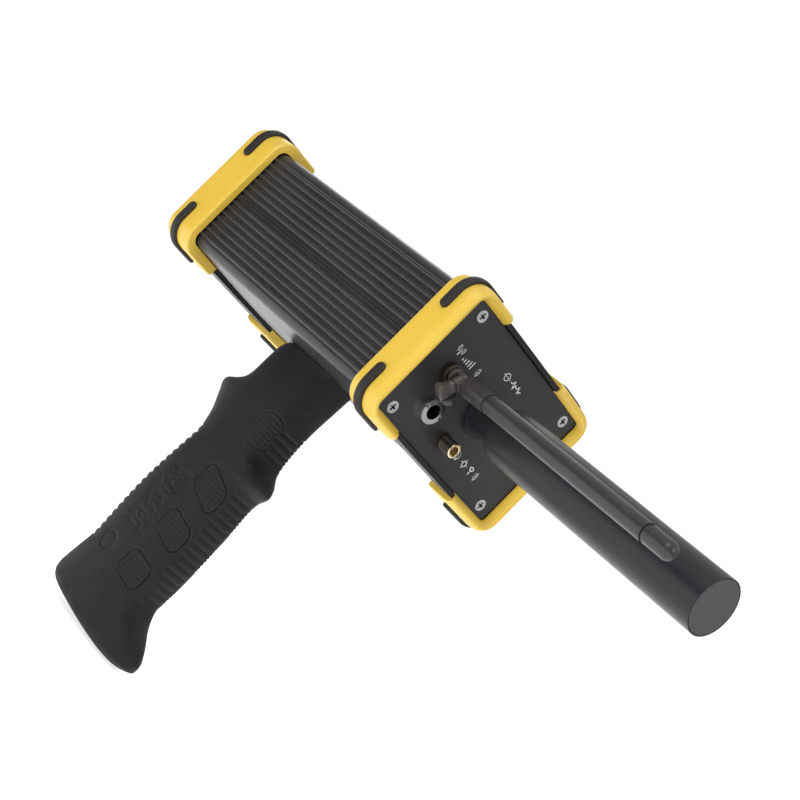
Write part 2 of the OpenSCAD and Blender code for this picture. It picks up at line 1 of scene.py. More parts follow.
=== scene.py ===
import bpy
import bmesh
import json
import math
import random
from mathutils import Euler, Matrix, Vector


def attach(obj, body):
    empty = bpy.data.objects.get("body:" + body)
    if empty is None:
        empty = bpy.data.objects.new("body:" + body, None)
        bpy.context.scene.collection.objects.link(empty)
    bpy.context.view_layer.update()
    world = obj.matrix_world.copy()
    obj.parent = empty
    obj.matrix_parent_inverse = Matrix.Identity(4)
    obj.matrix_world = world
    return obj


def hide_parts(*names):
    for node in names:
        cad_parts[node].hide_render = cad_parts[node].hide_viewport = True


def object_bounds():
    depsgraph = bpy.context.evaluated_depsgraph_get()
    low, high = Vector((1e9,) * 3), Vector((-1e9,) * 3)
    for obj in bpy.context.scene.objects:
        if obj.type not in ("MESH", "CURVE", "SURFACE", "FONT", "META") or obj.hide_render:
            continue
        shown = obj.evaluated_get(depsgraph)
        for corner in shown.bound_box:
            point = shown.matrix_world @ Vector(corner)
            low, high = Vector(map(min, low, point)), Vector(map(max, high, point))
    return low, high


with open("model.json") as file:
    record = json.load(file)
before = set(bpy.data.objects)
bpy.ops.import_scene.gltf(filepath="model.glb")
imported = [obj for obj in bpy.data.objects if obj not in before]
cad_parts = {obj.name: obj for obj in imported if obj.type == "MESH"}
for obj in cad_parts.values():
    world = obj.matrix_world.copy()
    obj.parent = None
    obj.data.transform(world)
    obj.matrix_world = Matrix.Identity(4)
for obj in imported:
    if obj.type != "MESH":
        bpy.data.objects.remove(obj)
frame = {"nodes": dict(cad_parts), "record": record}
CAD_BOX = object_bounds()
NODES = frame["nodes"]
MM = 0.001
GRIP_Y, GRIP_Z = 82.0, 112.0   # the row's origin seen from the front panel's middle, mm
CASE_LEN = 165.5               # front panel's face to rear panel's face, mm
ANTENNA = (-30.0, 1.0)         # the antenna's axis on the front panel, x and z, mm
HINGE_Y = 8.0                  # the fold's distance in front of the panel, mm
HINGE_TILT = 25.0              # degrees
PORT = (-5.0, -18.3)           # the coaxial connector's axis, mm
STRIP_Y = 5.5                  # middle of a rubber strip behind the panel's face, mm
STRIP_LOW = 15.0               # where a strip's side arm ends, mm from the case's middle
RIDGE = 3.6                    # pitch of the grip's ridges, mm
random.seed(7)


def at(x, y, z):
    """A point given from the front panel's middle in mm, in the row's frame in metres."""
    return Vector((x * MM, (y - GRIP_Y) * MM, (z + GRIP_Z) * MM))


def at_rear(x, y, z):
    return at(x, CASE_LEN - y, z)


# ---- materials ---------------------------------------------------------------------------
class Graph:
    """Short calls for one material's nodes."""

    def __init__(self, name):
        self.mat = bpy.data.materials.new(name)
        self.mat.use_nodes = True
        self.tree = self.mat.node_tree
        self.bsdf = self.tree.nodes["Principled BSDF"]
        self.coord = self.add("ShaderNodeTexCoord").outputs["Object"]

    def add(self, kind, **values):
        n = self.tree.nodes.new(kind)
        for key, value in values.items():
            if hasattr(n, key):
                setattr(n, key, value)
            else:
                self.put(n.inputs[key.replace("_", " ")], value)
        return n

    def put(self, socket, value):
        if isinstance(value, bpy.types.NodeSocket):
            self.tree.links.new(value, socket)
        else:
            socket.default_value = value

    def noise(self, scale, detail=3.0, stretch=None, rough=0.55):
        coord = self.coord
        if stretch:
            m = self.add("ShaderNodeMapping")
            m.inputs["Scale"].default_value = stretch
            self.put(m.inputs["Vector"], coord)
            coord = m.outputs["Vector"]
        n = self.add("ShaderNodeTexNoise")
        self.put(n.inputs["Vector"], coord)
        n.inputs["Scale"].default_value = scale
        n.inputs["Detail"].default_value = detail
        n.inputs["Roughness"].default_value = rough
        return n.outputs["Fac"]

    def ramp(self, value, low, high, from_low=0.3, from_high=0.7):
        m = self.add("ShaderNodeMapRange")
        self.put(m.inputs["Value"], value)
        for key, v in (("From Min", from_low), ("From Max", from_high), ("To Min", low), ("To Max", high)):
            m.inputs[key].default_value = v
        return m.outputs["Result"]

    def mix(self, factor, a, b):
        m = self.add("ShaderNodeMix", data_type="RGBA")
        self.put(m.inputs[0], factor)
        self.put(m.inputs[6], a if isinstance(a, bpy.types.NodeSocket) else (*a, 1.0))
        self.put(m.inputs[7], b if isinstance(b, bpy.types.NodeSocket) else (*b, 1.0))
        return m.outputs[2]

    def bump(self, height, distance, strength=1.0, normal=None):
        b = self.add("ShaderNodeBump")
        b.inputs["Strength"].default_value = strength
        b.inputs["Distance"].default_value = distance
        self.put(b.inputs["Height"], height)
        if normal is not None:
            self.put(b.inputs["Normal"], normal)
        return b.outputs["Normal"]

    def edge_wear(self, radius):
        """Near 1 on outer edges, near 0 on flat faces."""
        g = self.add("ShaderNodeNewGeometry").outputs["Pointiness"]
        return self.ramp(g, 0.0, 1.0, 0.5 + radius, 0.5 + 3 * radius)


def surface(name, base, other, rough, spread=0.06, grain=900.0, grain_h=0.00002, cloud=35.0,
            metallic=0.0, coat=0.0, specular=0.5, wear=None, stretch=None, hollow=None):
    """A satin surface: two tones in soft clouds, a fine grain in the bump and uneven roughness."""
    g = Graph(name)
    clouds = g.noise(cloud, 4.0)
    fine = g.noise(grain, 2.0, stretch)
    colour = g.mix(g.ramp(clouds, 0.0, 1.0), base, other)
    if wear:
        colour = g.mix(g.edge_wear(0.02), colour, wear)
    if hollow:                                  # painted shade: darker in recesses up to this deep, m
        shade = g.add("ShaderNodeAmbientOcclusion", only_local=True, Distance=hollow)
        colour = g.mix(g.ramp(shade.outputs["AO"], 1.0, 0.0, 0.35, 0.85), colour, (0.02, 0.02, 0.02))
    g.put(g.bsdf.inputs["Base Color"], colour)
    g.put(g.bsdf.inputs["Roughness"], g.ramp(g.noise(cloud * 4.0, 4.0), rough - spread, rough + spread))
    g.bsdf.inputs["Metallic"].default_value = metallic
    g.bsdf.inputs["Specular IOR Level"].default_value = specular
    g.bsdf.inputs["Coat Weight"].default_value = coat
    g.bsdf.inputs["Coat Roughness"].default_value = 0.15
    g.put(g.bsdf.inputs["Normal"], g.bump(fine, grain_h))
    return g.mat


M = {}
M["case_black"] = surface("case_black", (0.022, 0.021, 0.024), (0.028, 0.027, 0.030), 0.34, 0.04,
                          grain=1500.0, grain_h=0.000004, specular=0.36,
                          stretch=(1.0, 0.08, 1.0))
M["bezel_black"] = surface("bezel_black", (0.011, 0.011, 0.012), (0.015, 0.015, 0.017), 0.48,
                           grain=1400.0, grain_h=0.00003, specular=0.28)
M["bumper_yellow"] = surface("bumper_yellow", (0.64, 0.425, 0.044), (0.68, 0.455, 0.052), 0.42, 0.05,
                             grain=1600.0, grain_h=0.00002, cloud=22.0, wear=(0.68, 0.51, 0.10))
M["strip_rubber"] = surface("strip_rubber", (0.012, 0.010, 0.009), (0.018, 0.015, 0.013), 0.60, 0.08,
                            grain=1800.0, grain_h=0.00004, cloud=60.0, specular=0.35)
M["panel_black"] = surface("panel_black", (0.021, 0.021, 0.023), (0.026, 0.025, 0.027), 0.36, 0.05,
                           grain=2400.0, grain_h=0.00001, metallic=0.1, specular=0.5)
# hollow paints shade into the screws' cross recesses
M["screw_nickel"] = surface("screw_nickel", (0.60, 0.60, 0.60), (0.50, 0.50, 0.50), 0.36, 0.06,
                            grain=3000.0, grain_h=0.000006, metallic=0.7, cloud=180.0, hollow=0.0012)
M["connector_brass"] = surface("connector_brass", (0.83, 0.70, 0.47), (0.74, 0.58, 0.33), 0.26, 0.06,
                               grain=2500.0, grain_h=0.000008, metallic=1.0, cloud=150.0)
# On the positioning connector's thread and flange this near-black bronze is painted shade on brass
M["bronze_dark"] = surface("bronze_dark", (0.018, 0.013, 0.008), (0.034, 0.024, 0.013), 0.36, 0.07,
                           grain=1500.0, grain_h=0.00002, metallic=0.4, cloud=120.0)
M["knuckle_grey"] = surface("knuckle_grey", (0.050, 0.043, 0.040), (0.064, 0.056, 0.052), 0.44, 0.06,
                            grain=1300.0, grain_h=0.00003, cloud=90.0)
M["steel"] = surface("steel", (0.52, 0.52, 0.54), (0.60, 0.60, 0.62), 0.32, 0.06, metallic=1.0,
                     grain=1800.0, grain_h=0.00001, stretch=(1.0, 0.1, 1.0))
M["antenna_black"] = surface("antenna_black", (0.022, 0.021, 0.024), (0.028, 0.027, 0.031), 0.36, 0.06,
                             grain=1600.0, grain_h=0.00001, cloud=45.0, specular=0.4)
M["sensor_grey"] = surface("sensor_grey", (0.015, 0.014, 0.017), (0.019, 0.018, 0.022), 0.34, 0.05,
                           grain=2200.0, grain_h=0.000008, cloud=30.0, specular=0.25)
M["sensor_face"] = surface("sensor_face", (0.052, 0.048, 0.053), (0.060, 0.056, 0.061), 0.44, 0.05,
                           grain=2200.0, grain_h=0.000012, cloud=30.0)
M["chrome_ring"] = surface("chrome_ring", (0.70, 0.70, 0.71), (0.62, 0.62, 0.64), 0.16, 0.04, metallic=1.0,
                           grain=2600.0, grain_h=0.000004, cloud=120.0)
M["plastic_black"] = surface("plastic_black", (0.012, 0.012, 0.013), (0.018, 0.018, 0.019), 0.5,
                             grain=1500.0, grain_h=0.00002)
M["cell_sleeve"] = surface("cell_sleeve", (0.06, 0.20, 0.36), (0.07, 0.23, 0.40), 0.3)
M["lead_brown"] = surface("lead_brown", (0.09, 0.05, 0.03), (0.11, 0.065, 0.04), 0.45)
M["display_grey"] = surface("display_grey", (0.17, 0.21, 0.18), (0.19, 0.23, 0.20), 0.35)
M["button_yellow"] = surface("button_yellow", (0.80, 0.54, 0.07), (0.85, 0.58, 0.08), 0.5, 0.05,
                             grain=1500.0, grain_h=0.00003, cloud=60.0)
M["rocker_red"] = surface("rocker_red", (0.36, 0.02, 0.015), (0.42, 0.03, 0.02), 0.28, coat=0.2)
M["grip_rubber"] = surface("grip_rubber", (0.0085, 0.0085, 0.0105), (0.012, 0.012, 0.0145), 0.60, 0.07,
                           grain=1700.0, grain_h=0.00005, cloud=40.0, specular=0.22, wear=(0.022, 0.022, 0.025))
M["print_white"] = surface("print_white", (0.72, 0.72, 0.74), (0.80, 0.80, 0.82), 0.5, grain_h=0.000005)
M["dielectric"] = surface("dielectric", (0.20, 0.16, 0.10), (0.26, 0.21, 0.14), 0.4)


def board_material():
    """Green solder mask with copper tracks under it."""
    g = Graph("board_green")
    cells = g.add("ShaderNodeTexVoronoi", feature="DISTANCE_TO_EDGE")
    g.put(cells.inputs["Vector"], g.coord)
    cells.inputs["Scale"].default_value = 260.0
    tracks = g.ramp(cells.outputs["Distance"], 1.0, 0.0, 0.02, 0.06)
    green = g.mix(g.ramp(g.noise(60.0), 0.0, 1.0), (0.012, 0.085, 0.035), (0.02, 0.11, 0.045))
    g.put(g.bsdf.inputs["Base Color"], g.mix(tracks, green, (0.05, 0.19, 0.08)))
    g.put(g.bsdf.inputs["Roughness"], g.ramp(g.noise(140.0), 0.28, 0.4))
    g.put(g.bsdf.inputs["Normal"], g.bump(tracks, 0.00003))
    return g.mat


def glass_material():
    """A tinted window with faint smudges."""
    g = Graph("window_glass")
    smudge = g.noise(45.0, 5.0)
    tint = g.mix(g.ramp(smudge, 0.0, 1.0), (0.50, 0.56, 0.56), (0.60, 0.66, 0.66))
    g.put(g.bsdf.inputs["Base Color"], tint)
    g.put(g.bsdf.inputs["Roughness"], g.ramp(smudge, 0.03, 0.12))
    g.bsdf.inputs["Transmission Weight"].default_value = 0.9
    g.bsdf.inputs["IOR"].default_value = 1.49
    return g.mat


def lamp_material():
    g = Graph("lamp_green")
    green = g.mix(g.ramp(g.noise(300.0), 0.0, 1.0), (0.05, 0.42, 0.12), (0.08, 0.5, 0.16))
    g.put(g.bsdf.inputs["Base Color"], green)
    g.put(g.bsdf.inputs["Roughness"], g.ramp(g.noise(200.0), 0.12, 0.2))
    g.bsdf.inputs["Transmission Weight"].default_value = 0.3
    return g.mat


M["board_green"] = board_material()
M["window_glass"] = glass_material()
M["lamp_green"] = lamp_material()


# ---- building pieces ---------------------------------------------------------------------
def smooth(obj, angle=35.0):
    """Smooth shading with sharp edges where faces meet at more than the angle."""
    me = obj.data
    bm = bmesh.new()
    bm.from_mesh(me)
    limit = math.radians(angle)
    for e in bm.edges:
        e.smooth = len(e.link_faces) == 2 and e.calc_face_angle(0.0) < limit
    for f in bm.faces:
        f.smooth = True
    bm.to_mesh(me)
    bm.free()


def piece(name, verts, faces, mats, body, stands_for=(), angle=35.0, face_mats=None):
    """A new mesh object that rides on a body, stands for CAD nodes and has its finish."""
    me = bpy.data.meshes.new(name)
    me.from_pydata([tuple(v) for v in verts], [], faces)
    for m in mats:
        me.materials.append(m)
    if face_mats:
        for p, k in zip(me.polygons, face_mats):
            p.material_index = k
    me.validate()
    obj = bpy.data.objects.new(name, me)
    bpy.context.scene.collection.objects.link(obj)
    bm = bmesh.new()
    bm.from_mesh(me)
    bmesh.ops.recalc_face_normals(bm, faces=bm.faces)
    bm.to_mesh(me)
    bm.free()
    smooth(obj, angle)
    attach(obj, body)
    if stands_for:
        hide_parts(*stands_for)
    return obj


def bevel(obj, width, segments=3, angle=30.0):
    m = obj.modifiers.new("bevel", "BEVEL")
    m.width = width * MM
    m.segments = segments
    m.limit_method = "ANGLE"
    m.angle_limit = math.radians(angle)
    m.harden_normals = False
    m.use_clamp_overlap = True
    return m


def grid_faces(rows, cols, closed_rows=False, closed_cols=False, base=0):
    """Faces of a grid of rows x cols points."""
    out = []
    for i in range(rows if closed_rows else rows - 1):
        for j in range(cols if closed_cols else cols - 1):
            a, b = i, (i + 1) % rows
            c, d = j, (j + 1) % cols
            out.append((base + a * cols + c, base + a * cols + d, base + b * cols + d, base + b * cols + c))
    return out


# ---- outline of the case and bumpers -----------------------------------------------------
class Outline:
    """A crowned rectangle across the case: w and h in mm at its sides, corner radius r, crown c."""

    def __init__(self, w, h, r, c):
        self.w, self.r = w, r
        self.big = (w * w / 4 + c * c) / (2 * c)
        self.mid = h / 2 + c - self.big
        self.cx = w / 2 - r
        self.cz = self.mid + math.sqrt((self.big - r) ** 2 - self.cx ** 2)
        self.turn = math.atan2(self.cz - self.mid, self.cx)

    def arm(self, x):
        """A point of the upper face at x."""
        return x, self.mid + math.sqrt(self.big ** 2 - x * x)

    def arm_end(self):
        return self.big * math.cos(self.turn)

    def corner(self, t):
        """A point of the upper corner: t is 0 at the side and 1 at the upper face."""
        a = self.turn * t
        return self.cx + self.r * math.cos(a), self.cz + self.r * math.sin(a)

    def point(self, s, arm):
        """s is 0 in the middle of the side, 1 where the corner starts, 2 where it ends, then on to the arm's
        end at x = arm, which is s = 3. Negative s is the lower half."""
        up, a = (1 if s >= 0 else -1), abs(s)
        if a <= 1:
            x, z = self.w / 2, self.cz * a
        elif a <= 2:
            x, z = self.corner(a - 1)
        else:
            x, z = self.arm(self.arm_end() + (arm - self.arm_end()) * (a - 2))
        return x, up * z


ARMS = {-1: 27.3, 1: 20.4}         # where the bumpers' arms end, left and right of the case's middle
STRIP_TOP = {-1: 30.6, 1: 28.2}    # where their strips end
FRONT_END, REAR_END = 13.0, 17.5   # how far the bumpers reach behind the panel's face
CUFF = 0.5
INNER = Outline(91.0, 56.2, 2.2, 0.3)
CASE = Outline(95.3, 55.9, 4.2, 1.2)
CORE = Outline(98.4, 59.4, 5.1, 1.2)
OUTER = Outline(103.0, 66.0, 9.5, 0.5)
PROUD = Outline(106.2, 69.2, 11.1, 0.5)


def between(a, b, s, t, arm):
    (ax, az), (bx, bz) = a.point(s, arm), b.point(s, arm)
    return ax + (bx - ax) * t, az + (bz - az) * t


# Lip of the bumper: how far from the panel's opening to the outer face, and y in front of the panel's face.
LIP = [(0.0, -0.10), (0.0, -0.55), (0.03, -1.05), (0.09, -1.60), (0.18, -2.20), (0.28, -2.75), (0.38, -3.18),
       (0.48, -3.42), (0.57, -3.50), (0.66, -3.40), (0.75, -3.08), (0.83, -2.52), (0.90, -1.75), (0.955, -0.80),
       (0.985, 0.25), (1.0, 1.5), (1.0, 3.2), (1.0, 5.5), (1.0, 7.8), (1.0, 10.0), (1.0, 11.4), (0.985, 12.1),
       (0.955, 12.6), (0.90, 12.9), (0.82, 13.0)]


def bumper(name, side, place, end):
    """A C-shaped bumper with a rounded lip, swept round one side of the case and closed by a thin cuff."""
    steps = []
    for lo, hi, n in ((-3, -2, 12), (-2, -1, 12), (-1, 1, 24), (1, 2, 12), (2, 3, 12)):
        steps += [lo + (hi - lo) * i / n for i in range(n)]
    steps.append(3.0)
    arm = ARMS[side]
    rows = []
    for s in steps:
        d = (3 - abs(s)) * (OUTER.arm_end() - arm)         # distance from the arm's end, mm
        shrink = 0.0
        soft = 0.9
        if abs(s) > 2 and d < soft:
            shrink = 1 - math.sqrt(max(0.0, 1 - (1 - d / soft) ** 2))
        row = []
        for t, y in LIP:
            x, z = between(INNER, OUTER, s, t * (1 - 0.08 * shrink), arm)
            if y > 9:
                y += end - FRONT_END
            row.append(place(side * x, y + shrink * 0.7 * max(0.0, 1.5 - y) / 5.0, z))
        for outline, y in ((CASE, end), (CASE, end - CUFF), (CORE, end - CUFF), (CORE, 8.0), (CORE, 4.0),
                           (CORE, -0.05)):
            x, z = outline.point(s, arm)
            row.append(place(side * x, y, z))
        x, z = between(INNER, CORE, s, 0.5, arm)
        row.append(place(side * x, -0.05, z))
        rows.append(row)
    cols = len(rows[0])
    verts = [v for row in rows for v in row]
    faces = grid_faces(len(rows), cols, closed_cols=True)
    faces.append(tuple(range(cols)))
    faces.append(tuple((len(rows) - 1) * cols + j for j in range(cols)))
    obj = piece(name + "_shell", verts, faces, [M["bumper_yellow"]], "instrument", (name,))
    bevel(obj, 0.3, 3, 40.0)
    return obj


def strips(name, place):
    """Four L-shaped rubber strips with round ends, standing out of the bumpers at one end of the case."""
    verts, faces = [], []
    half_w, half_n, n = 2.2, 11, 46
    for sx in (-1, 1):
        arm = ARMS[sx]
        run = PROUD.arm_end() - arm
        s_low, s_high = STRIP_LOW / PROUD.cz, 2.0 + (PROUD.arm_end() - STRIP_TOP[sx]) / run
        corner = PROUD.cz + PROUD.r * PROUD.turn

        def length(s):
            if s <= 1:
                return s * PROUD.cz
            return PROUD.cz + (s - 1) * PROUD.r * PROUD.turn if s <= 2 else corner + (s - 2) * run

        l0, l1 = length(s_low), length(s_high)
        steps = [s_low + (s_high - s_low) * i / n for i in range(n + 1)]
        for k in range(1, 6):                       # extra steps that shape the round ends
            d = half_w * (1 - math.cos(math.pi / 2 * k / 6))
            steps += [s_low + d / PROUD.cz, s_high - d / run]
        steps = sorted(set(steps))
        for sz in (-1, 1):
            base = len(verts)
            for s in steps:
                d = min(length(s) - l0, l1 - length(s))
                q = max(0.06, math.sqrt(max(0.0, 1 - (1 - min(d, half_w) / half_w) ** 2)))
                w = half_w * q
                profile = [(-w, -0.5)]
                for i in range(half_n):
                    a = math.pi * i / (half_n - 1)
                    cy, cr = -math.cos(a), math.sin(a)
                    cy = math.copysign(abs(cy) ** 0.75, cy)
                    profile.append((cy * w, 0.42 + 0.58 * cr ** 0.6 * min(1.0, 0.35 + 0.65 * q)))
                profile.append((w, -0.5))
                for y, t in profile:
                    x, z = between(OUTER, PROUD, s, t, arm)
                    verts.append(place(sx * x, STRIP_Y + y, sz * z))
            cols = half_n + 2
            faces += grid_faces(len(steps), cols, closed_cols=True, base=base)
            faces.append(tuple(base + j for j in range(cols)))
            faces.append(tuple(base + (len(steps) - 1) * cols + j for j in range(cols)))
    return piece(name + "_set", verts, faces, [M["strip_rubber"]], "instrument", (name,),
                 angle=60.0)


# ---- grip --------------------------------------------------------------------------------
# Outlines of the grip as (height from the case's middle, value) in mm: rear edge, front edge, half width, and how
# far the web over the hand and the toe stand out.
REAR = [(-29, 100.2), (-31, 103), (-34, 105), (-40, 105.6), (-50, 105.6), (-58, 105.8), (-68, 105.6),
        (-76, 104.4), (-82, 104),
        (-90, 104.8), (-102, 105.8), (-115, 106.4), (-130, 105.8), (-146, 104.8), (-155, 106.4), (-162, 107.8),
        (-167, 108), (-172, 105.8)]
FRONT = [(-29, 64.8), (-36, 65.2), (-50, 66.4), (-60, 66.2), (-66, 65.5), (-71, 64.6), (-75, 63),
         (-79.5, 58.6), (-83.5, 57.2), (-88, 59.8), (-93, 60.4), (-104, 59.4), (-120, 58.2), (-136, 57.6),
         (-145, 57.9), (-149, 58), (-154, 56.4), (-160, 54.4), (-166, 53.6), (-172, 54)]
HALF_W = [(-29, 13.86), (-45, 14.04), (-62, 14.22), (-76, 14.49), (-92, 15.12), (-115, 15.66), (-135, 15.39),
          (-150, 14.94), (-162, 14.49), (-172, 14.04)]
HORN = [(-47, 0), (-50, 0.9), (-53, 3.4), (-56, 9.2), (-58.5, 14.6), (-60.2, 15.9), (-62, 15.4), (-64.5, 13.2),
        (-67.5, 10.6), (-71, 7.6), (-76, 4.2), (-81, 1.9), (-86, 0.6), (-90, 0)]
TOE = [(-147, 0), (-150, 0.99), (-153.5, 3.2), (-156, 5.91), (-158.6, 9.61), (-161.5, 13.06), (-164, 15.15),
       (-166.5, 15.4), (-169, 14.54), (-171.5, 13.06)]


def curve(points, z):
    """Smooth interpolation through (z, value) points, which run downwards."""
    if z >= points[0][0]:
        return points[0][1]
    if z <= points[-1][0]:
        return points[-1][1]
    for i in range(len(points) - 1):
        (z0, a), (z1, b) = points[i], points[i + 1]
        if z1 <= z <= z0:
            before = points[i - 1] if i else points[i]
            after = points[i + 2] if i + 2 < len(points) else points[i + 1]
            slope0 = (b - before[1]) / (z1 - before[0])
            slope1 = (after[1] - a) / (after[0] - z0)
            u, h = (z - z0) / (z1 - z0), z1 - z0
            return ((2 * u ** 3 - 3 * u * u + 1) * a + (u ** 3 - 2 * u * u + u) * h * slope0
                    + (3 * u * u - 2 * u ** 3) * b + (u ** 3 - u * u) * h * slope1)


def step(a, b, v):
    """0 below a, 1 above b, smooth between them."""
    u = min(1.0, max(0.0, (v - a) / (b - a)))
    return u * u * (3 - 2 * u)


def box_distance(y, z, cy, cz, hy, hz, r, slope=0.0):
    """Signed distance to a rounded rectangle on the grip's side, in mm."""
    dy, dz = abs(y - cy) - hy + r, abs(z - cz - slope * (y - cy)) - hz + r
    return math.hypot(max(dy, 0), max(dz, 0)) + min(max(dy, dz), 0) - r


def dots(y, z, pitch, r):
    """Height of round dots in a staggered lattice, 0 to 1."""
    row = round(z / (pitch * 0.866))
    off = 0.5 * pitch if row % 2 else 0.0
    cy = round((y - off) / pitch) * pitch + off
    d = math.hypot(y - cy, z - row * pitch * 0.866)
    return 1 - step(r * 0.35, r, d)


# Finger pads: y, z, half length, half height and slope; the oval above them: y, z and half axes.
PADS = [(65.2, -96.6, 10.6, 6.4, 0.28), (63.2, -119.2, 9.9, 6.1, 0.18), (63.6, -141.4, 9.0, 6.2, 0.12)]
OVAL = (66.8, -64.0, 10.6, 8.2)
# Raised flecks on the grip's side: y, z, angle and half length.
FLECKS = [(random.uniform(75, 90), random.uniform(-130, -98),
           random.uniform(0, math.pi), random.uniform(0.8, 1.9)) for _ in range(46)]


def relief(x, y, z, nx, ny):
    """Height of the grip's moulded detail above its smooth surface, in mm, at most 0."""
    h = 0.0
    side = step(0.15, 0.5, abs(nx))
    wrap = y - 0.95 * (14.0 - abs(x)) if y < 80 else y + 50     # runs on round the corner to the front
    for cy, cz, hy, hz, slope in PADS:
        d = box_distance(wrap, z, cy, cz, hy, hz, 4.4, slope)
        if d < 1.0:
            rim = math.exp(-(d / 0.42) ** 2)
            h -= 0.75 * rim
            if d < -0.7:
                h -= 0.35 * step(-0.7, -1.5, d) * (1 - dots(wrap, z, 2.1, 0.95))
    cy, cz, hy, hz = OVAL
    q = math.hypot((wrap - cy) / hy, (z - cz) / hz)
    d = (q - 1) * min(hy, hz)
    if d < 1.0:
        h -= 0.55 * math.exp(-(d / 0.42) ** 2) * side
        if d < -0.7:
            h -= 0.32 * side * step(-0.7, -1.6, d) * (1 - dots(wrap, z, 2.2, 0.95))
    if abs(nx) > 0.3 and 72 < y < 92 and -133 < z < -96:       # raised flecks between pads and back strap
        best = 9.0
        for fy, fz, a, ln in FLECKS:
            u, v = y - fy, z - fz
            if abs(u) < 3 and abs(v) < 3:
                along = u * math.cos(a) + v * math.sin(a)
                across = -u * math.sin(a) + v * math.cos(a)
                best = min(best, math.hypot(max(0.0, abs(along) - ln), across))
        h -= 0.30 * step(0.55, 1.1, best) * step(0.25, 0.6, abs(nx)) * step(71.5, 75, y) * (
            1 - step(88, 91.5, y)) * step(-132, -128, z) * (1 - step(-100, -97, z))
    d = math.hypot(y - 86.5, z + 141.7)
    if d < 5.2:
        h -= 0.5 * math.exp(-((d - 3.9) / 0.45) ** 2) * side
    back = step(0.30, 0.62, ny)
    if back > 0 and -148 < z < -78:                            # ridges down the back strap
        wave = abs(math.cos(math.pi * z / RIDGE)) ** 0.7
        h -= 0.75 * (1 - wave) * back * step(-148, -145, z) * (1 - step(-83, -79, z))
    front = 1 - step(5.0, 7.5, abs(x))
    if front > 0 and ny < 0:
        wave = abs(math.cos(math.pi * z / RIDGE)) ** 0.7
        zones = step(-75, -72, z) * (1 - step(-58, -56, z)) + step(-155, -152, z) * (1 - step(-90, -87, z))
        h -= 0.45 * (1 - wave) * front * zones
    return h


def grip():
    """The rubber grip: stacked ovals with a web over the hand, a toe, pads, dots and serrations."""
    rows_n, cols = 430, 300
    rows = []
    z_top, z_low = -29.2, -171.5
    levels = [z_top + (z_low - z_top) * (i / (rows_n - 1)) for i in range(rows_n)]
    for z in levels:
        yr, yf, w = curve(REAR, z), curve(FRONT, z), curve(HALF_W, z)
        horn = max(0.0, curve(HORN, z)) if -90 < z < -44 else 0.0
        toe = max(0.0, curve(TOE, z)) if z < -147 else 0.0
        mid, half = (yr + yf) / 2, (yr - yf) / 2
        soft = max(0.0, (z_low + 3.5 - z) / 3.5)                # rounding towards the sole
        inset = 3.0 * (1 - math.sqrt(max(0.0, 1 - soft * soft)))
        tilt = 0.075 * (1 - step(-171, -135, z))
        base = []
        for j in range(cols):
            a = 2 * math.pi * j / cols
            c, s = math.cos(a), math.sin(a)
            x = (w - 0.8 * inset) * math.copysign(abs(s) ** 0.74, s)
            y = (half - inset) * math.copysign(abs(c) ** 0.74, c)
            phi = math.atan2(abs(x), y)
            if horn:
                y += horn * math.exp(-(phi / 0.52) ** 2)
            if toe:
                back_phi = math.pi - phi
                y -= toe * math.exp(-(back_phi / 0.60) ** 2) * (1 - 0.3 * soft)
            base.append((x, mid + y))
        row = []
        for j, (x, y) in enumerate(base):
            (x0, y0), (x1, y1) = base[j - 1], base[(j + 1) % cols]
            tx, ty = x1 - x0, y1 - y0
            ln = math.hypot(tx, ty) or 1.0
            nx, ny = -ty / ln, tx / ln
            if nx * x + ny * (y - mid) < 0:
                nx, ny = -nx, -ny
            h = relief(x, y, z, nx, ny)
            row.append(at(x + nx * h, y + ny * h, z + tilt * (y - 80)))
        rows.append(row)
    verts = [v for row in rows for v in row]
    faces = grid_faces(rows_n, cols, closed_cols=True)
    last = (rows_n - 1) * cols
    centre_row = rows[-1]
    centre = sum(centre_row, Vector()) / cols
    ring = []
    for k, f in enumerate((0.9, 0.6, 0.25)):
        ring.append(len(verts))
        for v in centre_row:
            verts.append(centre + (v - centre) * f + Vector((0, 0, -0.25 * MM * (1 - f * f))))
    prev = last
    for start in ring:
        for j in range(cols):
            faces.append((prev + j, prev + (j + 1) % cols, start + (j + 1) % cols, start + j))
        prev = start
    faces.append(tuple(prev + j for j in range(cols)))
    faces.append(tuple(range(cols)))
    return piece("grip_skin", verts, faces, [M["grip_rubber"]], "instrument", ("grip_cover",),
                 angle=70.0)


# ---- turned and threaded pieces ----------------------------------------------------------
def lathe(profile, centre, n=64, closed=True):
    """Turns (y, radius) points round the line along Y through centre (x, z)."""
    verts = []
    for y, r in profile:
        for j in range(n):
            a = 2 * math.pi * j / n
            verts.append(at(centre[0] + r * math.cos(a), y, centre[1] + r * math.sin(a)))
    faces = grid_faces(len(profile), n, closed_rows=closed, closed_cols=True)
    return verts, faces


def threaded(centre, y_front, y_back, r_top, r_root, pitch, n=72):
    """The outside of a screw thread along Y."""
    verts, per = [], 12
    rows = int((y_back - y_front) / pitch * per) + 1
    for i in range(rows):
        y = y_front + (y_back - y_front) * i / (rows - 1)
        for j in range(n):
            a = 2 * math.pi * j / n
            turn = ((y - y_front) / pitch - j / n) % 1.0
            v = abs(2 * turn - 1)
            r = r_root + (r_top - r_root) * min(1.0, max(0.0, 1.35 * v - 0.15))
            run_in = min(1.0, (y - y_front) / (pitch * 1.2))
            r = min(r, r_root + 0.1 + (r_top - r_root) * run_in)
            verts.append(at(centre[0] + r * math.cos(a), y, centre[1] + r * math.sin(a)))
    return verts, grid_faces(rows, n, closed_cols=True), rows, n


